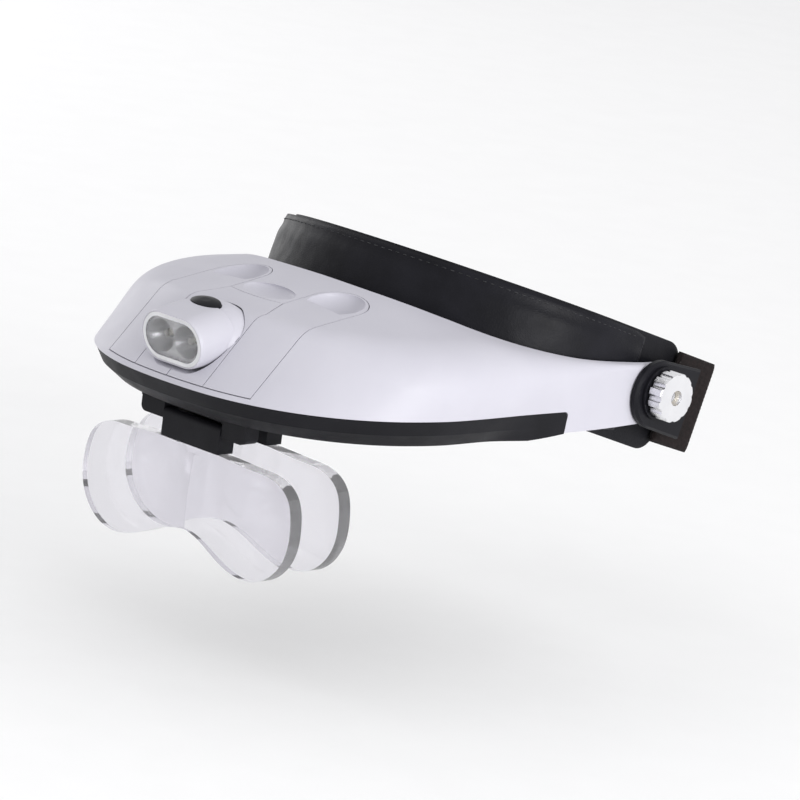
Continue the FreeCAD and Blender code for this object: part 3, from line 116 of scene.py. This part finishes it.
def node_of(material, kind, **values):
    """A shader node with the given attributes and input values."""
    node = material.node_tree.nodes.new(kind)
    for name, value in values.items():
        if hasattr(node, name):
            setattr(node, name, value)
        else:
            node.inputs[name.replace("_", " ")].default_value = value
    return node


def principled(name, **values):
    """A new material with its Principled shader's own sockets set."""
    material = bpy.data.materials.new(name)
    material.use_nodes = True
    shader = material.node_tree.nodes["Principled BSDF"]
    for socket, value in values.items():
        shader.inputs[socket.replace("_", " ")].default_value = value
    return material, shader


def vary_colour(material, shader, low, high, scale, detail=3.0):
    """A soft cloud of two near colours."""
    links = material.node_tree.links
    place = node_of(material, "ShaderNodeTexCoord")
    cloud = node_of(material, "ShaderNodeTexNoise", Scale=scale, Detail=detail)
    ramp = node_of(material, "ShaderNodeValToRGB")
    ramp.color_ramp.elements[0].position = 0.3
    ramp.color_ramp.elements[1].position = 0.7
    ramp.color_ramp.elements[0].color = (*low, 1)
    ramp.color_ramp.elements[1].color = (*high, 1)
    links.new(place.outputs["Object"], cloud.inputs["Vector"])
    links.new(cloud.outputs["Fac"], ramp.inputs["Fac"])
    links.new(ramp.outputs["Color"], shader.inputs["Base Color"])
    return place, ramp


def vary_roughness(material, shader, place, low, high, scale):
    links = material.node_tree.links
    cloud = node_of(material, "ShaderNodeTexNoise", Scale=scale, Detail=4.0)
    spread = node_of(material, "ShaderNodeMapRange")
    spread.inputs["From Min"].default_value = 0.3
    spread.inputs["From Max"].default_value = 0.7
    spread.inputs["To Min"].default_value = low
    spread.inputs["To Max"].default_value = high
    links.new(place.outputs["Object"], cloud.inputs["Vector"])
    links.new(cloud.outputs["Fac"], spread.inputs["Value"])
    links.new(spread.outputs["Result"], shader.inputs["Roughness"])


def add_bump(material, shader, height, distance, strength=1.0, after=None):
    """Bump from a height output, after another bump when one is given."""
    links = material.node_tree.links
    bump = node_of(material, "ShaderNodeBump")
    bump.inputs["Strength"].default_value = strength
    bump.inputs["Distance"].default_value = distance
    links.new(height, bump.inputs["Height"])
    if after is not None:
        links.new(after.outputs["Normal"], bump.inputs["Normal"])
    links.new(bump.outputs["Normal"], shader.inputs["Normal"])
    return bump


def moulded(name, low, high, rough, grain, depth, coat=0.0, **values):
    """Moulded plastic or metal: faint colour clouds, uneven gloss and a fine surface texture."""
    material, shader = principled(name, Coat_Weight=coat, Coat_Roughness=0.12, **values)
    place, ramp = vary_colour(material, shader, low, high, 38.0)
    vary_roughness(material, shader, place, rough[0], rough[1], 95.0)
    fine = node_of(material, "ShaderNodeTexNoise", Scale=grain, Detail=2.0)
    material.node_tree.links.new(place.outputs["Object"], fine.inputs["Vector"])
    add_bump(material, shader, fine.outputs["Fac"], depth)
    return material


def brushed(name, low, high, rough, scale, stretch):
    """Machined metal, with fine lines round or along one axis."""
    material, shader = principled(name, Metallic=1.0)
    place, ramp = vary_colour(material, shader, low, high, 120.0)
    vary_roughness(material, shader, place, rough[0], rough[1], 260.0)
    links = material.node_tree.links
    mapping = node_of(material, "ShaderNodeMapping")
    mapping.inputs["Scale"].default_value = stretch
    lines = node_of(material, "ShaderNodeTexNoise", Scale=scale, Detail=2.0)
    links.new(place.outputs["Object"], mapping.inputs["Vector"])
    links.new(mapping.outputs["Vector"], lines.inputs["Vector"])
    add_bump(material, shader, lines.outputs["Fac"], 0.00002)
    return material


def leatherette(name, low, high, rough, grain):
    """Embossed black leatherette: pebbled grain, pores and softer creases over it."""
    material, shader = principled(
        name, Coat_Weight=0.02, Coat_Roughness=0.3, Sheen_Weight=0.01, Specular_IOR_Level=0.1
    )
    place, ramp = vary_colour(material, shader, low, high, 60.0, 5.0)
    vary_roughness(material, shader, place, rough[0], rough[1], 140.0)
    links = material.node_tree.links
    pebbles = node_of(material, "ShaderNodeTexVoronoi", Scale=grain, feature="DISTANCE_TO_EDGE")
    pebbles.inputs["Randomness"].default_value = 0.9
    creases = node_of(material, "ShaderNodeTexNoise", Scale=210.0, Detail=5.0)
    links.new(place.outputs["Object"], pebbles.inputs["Vector"])
    links.new(place.outputs["Object"], creases.inputs["Vector"])
    first = add_bump(material, shader, creases.outputs["Fac"], 0.0003, 0.5)
    add_bump(material, shader, pebbles.outputs["Distance"], 0.0002, 0.55, first)
    return material


def woven(name, low, high, along, across):
    """Woven elastic: lengthwise cords crossed by a fine weft, with a little fuzz."""
    material, shader = principled(name, Sheen_Weight=0.04, Sheen_Roughness=0.55, Specular_IOR_Level=0.15)
    place, ramp = vary_colour(material, shader, low, high, 900.0, 2.0)
    vary_roughness(material, shader, place, 0.75, 0.92, 500.0)
    links = material.node_tree.links
    cords = node_of(material, "ShaderNodeTexWave", Scale=along, Distortion=0.6, bands_direction="Z")
    weft = node_of(material, "ShaderNodeTexWave", Scale=across, Distortion=0.8, bands_direction="DIAGONAL")
    links.new(place.outputs["Object"], cords.inputs["Vector"])
    links.new(place.outputs["Object"], weft.inputs["Vector"])
    first = add_bump(material, shader, weft.outputs["Fac"], 0.0001, 0.6)
    add_bump(material, shader, cords.outputs["Fac"], 0.00018, 0.7, first)
    return material


def clear(name, tint, rough, ior, body):
    """Clear plastic, polished, with a trace of waviness; body is how much of it bends the light."""
    material, shader = principled(name, Transmission_Weight=1.0, IOR=ior, Alpha=body)
    place, ramp = vary_colour(material, shader, tint, tuple(min(1.0, c + 0.01) for c in tint), 20.0)
    vary_roughness(material, shader, place, rough, rough + 0.012, 60.0)
    wave = node_of(material, "ShaderNodeTexNoise", Scale=26.0, Detail=0.0)
    material.node_tree.links.new(place.outputs["Object"], wave.inputs["Vector"])
    add_bump(material, shader, wave.outputs["Fac"], 0.00004)
    return material


SATIN = {"Specular_IOR_Level": 0.35}
DULL = {"Specular_IOR_Level": 0.13}
white = moulded("white_abs", (0.505, 0.497, 0.553), (0.53, 0.522, 0.577), (0.44, 0.54), 900.0, 0.000012, 0.05, **SATIN)
black = moulded("black_plastic", (0.007, 0.007, 0.009), (0.012, 0.012, 0.015), (0.4, 0.55), 1900.0, 0.00006, **DULL)
gloss_black = moulded("black_gloss", (0.006, 0.006, 0.008), (0.010, 0.010, 0.013), (0.28, 0.38), 700.0, 0.00001, **DULL)
skin = leatherette("leatherette", (0.006, 0.006, 0.008), (0.012, 0.012, 0.016), (0.34, 0.46), 1150.0)
lining = leatherette("lining", (0.007, 0.007, 0.009), (0.014, 0.014, 0.017), (0.5, 0.62), 800.0)
elastic = woven("elastic", (0.006, 0.004, 0.004), (0.014, 0.008, 0.008), 700.0, 1400.0)
thread = woven("thread", (0.03, 0.03, 0.033), (0.08, 0.08, 0.088), 3000.0, 5000.0)
chrome = brushed("polished_knob", (0.80, 0.80, 0.82), (0.88, 0.88, 0.90), (0.05, 0.12), 1500.0, (30, 1, 1))
steel = brushed("steel", (0.52, 0.52, 0.53), (0.66, 0.66, 0.67), (0.22, 0.36), 1800.0, (1, 20, 1))
brass = brushed("insert", (0.60, 0.55, 0.46), (0.74, 0.70, 0.62), (0.22, 0.34), 1600.0, (1, 12, 1))
mirror = brushed("reflector", (0.34, 0.34, 0.36), (0.42, 0.42, 0.44), (0.16, 0.24), 300.0, (1, 1, 1))
plating = brushed("bezel", (0.62, 0.62, 0.64), (0.72, 0.72, 0.74), (0.12, 0.22), 900.0, (1, 1, 1))
acrylic = clear("acrylic", (0.855, 0.845, 0.885), 0.0, 1.49, 0.94)
pane = clear("lamp_pane", (0.97, 0.97, 0.97), 0.0, 1.5, 0.6)
led = moulded("led_dome", (0.42, 0.41, 0.36), (0.50, 0.49, 0.43), (0.12, 0.2), 800.0, 0.00001, 0.6)
board = moulded("board", (0.01, 0.10, 0.04), (0.02, 0.15, 0.06), (0.35, 0.5), 1200.0, 0.00005, 0.2)
nylon = moulded("nylon", (0.68, 0.67, 0.64), (0.76, 0.75, 0.72), (0.42, 0.55), 1400.0, 0.00003)
wrap = moulded("cell_wrap", (0.10, 0.10, 0.105), (0.14, 0.14, 0.145), (0.22, 0.34), 500.0, 0.00002, 0.3)
grey_plastic = moulded("grey_plastic", (0.20, 0.20, 0.22), (0.25, 0.25, 0.27), (0.35, 0.5), 1500.0, 0.00005)
ground = moulded("floor_paper", (0.955, 0.955, 0.955), (0.97, 0.97, 0.97), (0.8, 0.9), 60.0, 0.00002)
floor.data.materials.append(ground)

FINISH = {
    white: ["visor_shell", "lamp_cover", "battery_door_left", "battery_door_right", "lamp_body"],
    black: ["lower_housing", "lens_rail", "front_lens_holder", "rear_lens_holder", "battery_tray"],
    gloss_black: ["temple_bracket_left", "temple_bracket_right", "power_button"],
    lining: ["headband_pad"],
    skin: ["headband_cover"],
    elastic: ["rear_strap"],
    chrome: ["knob_left", "knob_right"],
    brass: ["knob_insert_left", "knob_insert_right"],
    steel: [
        "pivot_screw_left", "pivot_screw_right", "strap_rivets", "bracket_rivets", "housing_screws",
        "rail_screws", "rail_nuts", "front_hinge_pin", "front_grip_spring", "rear_grip_spring",
        "lamp_pivot_left", "lamp_pivot_right", "lamp_cradle_left", "lamp_cradle_right",
        "contact_springs", "contact_strips",
    ],
    mirror: ["lamp_reflector"],
    plating: ["lamp_bezel"],
    acrylic: ["front_lens", "rear_lens"],
    pane: ["lamp_window"],
    led: ["lamp_leds"],
    board: ["circuit_board", "lamp_board"],
    nylon: ["friction_washers_left", "friction_washers_right"],
    wrap: ["battery_left", "battery_right"],
    grey_plastic: ["headband_stiffener", "board_posts", "power_switch"],
}
for material, names in FINISH.items():
    for name in names:
        slots = NODES[name].data.materials
        slots.clear()
        slots.append(material)

# ---------------------------------------------------------------- mesh helpers


def make_object(name, vertices, faces, material, body, smooth=True):
    """A mesh piece that rides on a body and takes its finish from a slot."""
    mesh = bpy.data.meshes.new(name)
    mesh.from_pydata([tuple(point) for point in vertices], [], faces)
    mesh.update()
    if smooth:
        mesh.polygons.foreach_set("use_smooth", [True] * len(mesh.polygons))
    mesh.materials.append(material)
    obj = bpy.data.objects.new(name, mesh)
    bpy.context.scene.collection.objects.link(obj)
    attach(obj, body)
    return obj


def loft_rings(rings):
    """Vertices and faces through closed rings of points, with both ends capped."""
    vertices = [point for ring in rings for point in ring]
    count = len(rings[0])
    faces = []
    for row in range(len(rings) - 1):
        for column in range(count):
            after = (column + 1) % count
            a = row * count
            b = (row + 1) * count
            faces.append((a + column, b + column, b + after, a + after))
    last = (len(rings) - 1) * count
    for start, flip in ((0, False), (last, True)):
        middle = len(vertices)
        vertices.append(sum((Vector(vertices[start + i]) for i in range(count)), Vector()) / count)
        for column in range(count):
            after = (column + 1) % count
            face = (start + column, start + after, middle)
            faces.append(face[::-1] if flip else face)
    return vertices, faces


TILT = Matrix.Rotation(math.radians(-17.0), 4, "X")
BAND_HALF = 79.0
BAND_REACH = 89.5
BAND_STRAIGHT = 22.5


def band_point(turn_share, outset, back):
    """A point in the band's plane, and its outward direction, from one end (0) to the other (1).

    The legs run straight from back, and half an ellipse joins them round the forehead.
    """
    half = BAND_HALF + outset
    depth = BAND_REACH + outset - BAND_STRAIGHT
    leg = BAND_STRAIGHT + back
    arc = math.pi * (half + depth) / 2
    total = 2 * leg + arc
    along = turn_share * total
    if along < leg:
        return Vector((half, back - along, 0)), Vector((1, 0, 0))
    if along > total - leg:
        return Vector((-half, back - (total - along), 0)), Vector((-1, 0, 0))
    angle = math.pi * (along - leg) / arc
    point = Vector((half * math.cos(angle), -BAND_STRAIGHT - depth * math.sin(angle), 0))
    out = Vector((math.cos(angle) / half, -math.sin(angle) / depth, 0)).normalized()
    return point, out


def in_row(point):
    """From the band's plane, in millimetres, to the row frame in metres."""
    return TILT @ (point * MM)


def sweep_band(profile_at, back, steps):
    """Rings of a profile of (outset, height) pairs that is swept along the band."""
    rings = []
    for step in range(steps + 1):
        share = step / steps
        point, out = band_point(share, 0.0, back)
        ring = []
        for outset, height in profile_at(share):
            ring.append(in_row(point + out * outset + Vector((0, 0, height))))
        rings.append(ring)
    return rings


def end_share(share, steps, reach):
    """0 at the band's two ends, rising to 1 over a few steps."""
    nearest = min(share, 1 - share) * steps
    return min(1.0, nearest / reach)


# ---------------------------------------------------------------- headband cover

COVER_LOW = -19.8
COVER_HIGH = 19.0
COVER_STEPS = 220


def cover_profile(share):
    """A padded panel between two flat hems, thickest a little over its middle."""
    ends = end_share(share, COVER_STEPS, 7)
    puff = math.sin(ends * math.pi / 2)
    outer = []
    middle = (COVER_LOW + COVER_HIGH) / 2
    for index in range(29):
        height = COVER_LOW + (COVER_HIGH - COVER_LOW) * index / 28
        from_edge = min(height - COVER_LOW, COVER_HIGH - height)
        if from_edge < 3.4:
            outset = -0.75 - 0.5 * (1 - from_edge / 3.4) ** 3
        else:
            rise = min(1.0, (from_edge - 3.4) / 5.5)
            ripple = 0.10 * noise.noise(Vector((share * 46, height * 0.16, 3.0)))
            outset = -0.95 + 1.15 * math.sin(rise * math.pi / 2) * (0.25 + 0.75 * puff) + ripple
        squeeze = 0.35 + 0.65 * puff
        outer.append((outset, middle + (height - middle) * (0.9 + 0.1 * squeeze)))
    inner = [(-1.96, height) for outset, height in reversed(outer)]
    return outer + inner


vertices, faces = loft_rings(sweep_band(cover_profile, -7.0, COVER_STEPS))
band_cover = make_object("band_cover", vertices, faces, skin, "headband")
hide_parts("headband_cover")

# ---------------------------------------------------------------- headband pad

PAD_LOW = -22.2
PAD_HIGH = 19.9
PAD_STEPS = 240
PAD_BACK = 20.9
PAD_ROUND = 9.0


def pad_profile(share):
    """A foam strip, crowned towards the head, with round ends and two sewn channels."""
    leg = PAD_BACK + BAND_STRAIGHT
    arc = math.pi * (BAND_HALF + BAND_REACH - BAND_STRAIGHT) / 2
    reach = min(share, 1 - share) * (2 * leg + arc)
    cut_in = 0.0
    if reach < PAD_ROUND:
        cut_in = PAD_ROUND - math.sqrt(max(0.0, PAD_ROUND**2 - (PAD_ROUND - reach) ** 2))
    low = PAD_LOW + cut_in
    high = PAD_HIGH - cut_in
    full = min(1.0, (reach + 1.2) / 7.0)
    inner = []
    outer = []
    for index in range(33):
        share_up = index / 32
        height = low + (high - low) * share_up
        crown = math.sin(math.pi * min(1.0, max(0.0, share_up))) ** 0.45
        seam = math.exp(-(((height - 9.5) / 0.8) ** 2)) + math.exp(-(((height + 11.0) / 0.8) ** 2))
        wrinkle = 0.16 * noise.noise(Vector((share * 60, height * 0.12, 7.0)))
        thick = 0.9 + 3.1 * crown * full - 0.9 * seam * full + wrinkle * full
        outer.append((-3.98 - 0.5 * (1 - crown), height))
        inner.append((-3.98 - max(0.8, thick), height))
    return outer + inner[::-1]


vertices, faces = loft_rings(sweep_band(pad_profile, PAD_BACK, PAD_STEPS))
band_pad = make_object("band_pad", vertices, faces, lining, "headband")
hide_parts("headband_pad")

# ---------------------------------------------------------------- stitches


def add_stitches(name, height, outset, back, pitch, margin):
    """A row of short raised stitches along the band at one height."""
    leg = back + BAND_STRAIGHT
    arc = math.pi * (BAND_HALF + BAND_REACH - BAND_STRAIGHT) / 2
    total = 2 * leg + arc
    count = int((total - 2 * margin) / pitch)
    vertices = []
    faces = []
    sides = 6
    for index in range(count):
        start = (margin + index * pitch) / total
        ends = (start, (margin + index * pitch + 0.64 * pitch) / total)
        spine = []
        for step in range(5):
            share = ends[0] + (ends[1] - ends[0]) * step / 4
            point, out = band_point(share, 0.0, back)
            sink = abs(step - 2) ** 2 * 0.07
            spine.append((point + out * (outset - sink) + Vector((0, 0, height)), out))
        rings = []
        for step, (point, out) in enumerate(spine):
            radius = 0.21 if 0 < step < 4 else 0.10
            ring = []
            for side in range(sides):
                turn = 2 * math.pi * side / sides
                offset = out * (radius * math.cos(turn)) + Vector((0, 0, radius * math.sin(turn)))
                ring.append(in_row(point + offset))
            rings.append(ring)
        part_vertices, part_faces = loft_rings(rings)
        base = len(vertices)
        vertices += part_vertices
        faces += [tuple(base + corner for corner in face) for face in part_faces]
    return make_object(name, vertices, faces, thread, "headband")


add_stitches("stitches_top", COVER_HIGH - 2.1, -0.72, -7.0, 3.1, 6.0)
add_stitches("stitches_low", COVER_LOW + 2.1, -0.72, -7.0, 3.1, 6.0)

# ---------------------------------------------------------------- rear strap

STRAP_OUTER = 78.55
STRAP_THICK = 2.4
STRAP_HALF = 17.5
STRAP_START = 16.2
STRAP_TURN = 36.3
FOLD = 3.4
FOLD_TURN = math.radians(55)


def strap_line(depth):
    """The strap's line in plan at a depth under its outer face, from left to right."""
    radius = FOLD - depth
    outer_x = STRAP_OUTER - depth
    centre = Vector((STRAP_OUTER - FOLD, STRAP_TURN, 0))
    points = [Vector((outer_x, STRAP_START + (STRAP_TURN - STRAP_START) * i / 12, 0)) for i in range(12)]
    for step in range(9):
        turn = FOLD_TURN * step / 8
        points.append(centre + Vector((radius * math.cos(turn), radius * math.sin(turn), 0)))
    end = points[-1]
    lean = math.pi / 2 - FOLD_TURN
    bow = end.x / math.sin(lean)
    for step in range(1, 41):
        turn = lean * (1 - step / 40)
        points.append(Vector((bow * math.sin(turn), end.y + bow * (math.cos(turn) - math.cos(lean)), 0)))
    mirrored = [Vector((-point.x, point.y, 0)) for point in reversed(points[:-1])]
    return points + mirrored


def strap_rings():
    """Rings of a doubled strap: two plies with ribs along them, and a round edge between."""
    outer = strap_line(0.0)
    inner = strap_line(STRAP_THICK)
    rings = []
    for index, (face, back) in enumerate(zip(outer, inner)):
        across = (back - face) / STRAP_THICK
        ring = []
        ribs = 44
        for step in range(ribs + 1):
            share = step / ribs
            height = -STRAP_HALF + 2 * STRAP_HALF * share
            edge = min(1.0, 12 * min(share, 1 - share))
            rib = 0.09 * (step % 2) * edge
            depth = 0.45 * (1 - edge) ** 2 + rib
            ring.append(in_row(face + across * (depth + 0.02) + Vector((0, 0, height))))
        for step in range(ribs, -1, -1):
            share = step / ribs
            height = -STRAP_HALF + 2 * STRAP_HALF * share
            edge = min(1.0, 12 * min(share, 1 - share))
            rib = 0.09 * (step % 2) * edge
            depth = STRAP_THICK - 0.45 * (1 - edge) ** 2 - rib
            ring.append(in_row(face + across * (depth - 0.02) + Vector((0, 0, height))))
        rings.append(ring)
    return rings


vertices, faces = loft_rings(strap_rings())
strap = make_object("strap", vertices, faces, elastic, "headband")
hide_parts("rear_strap")
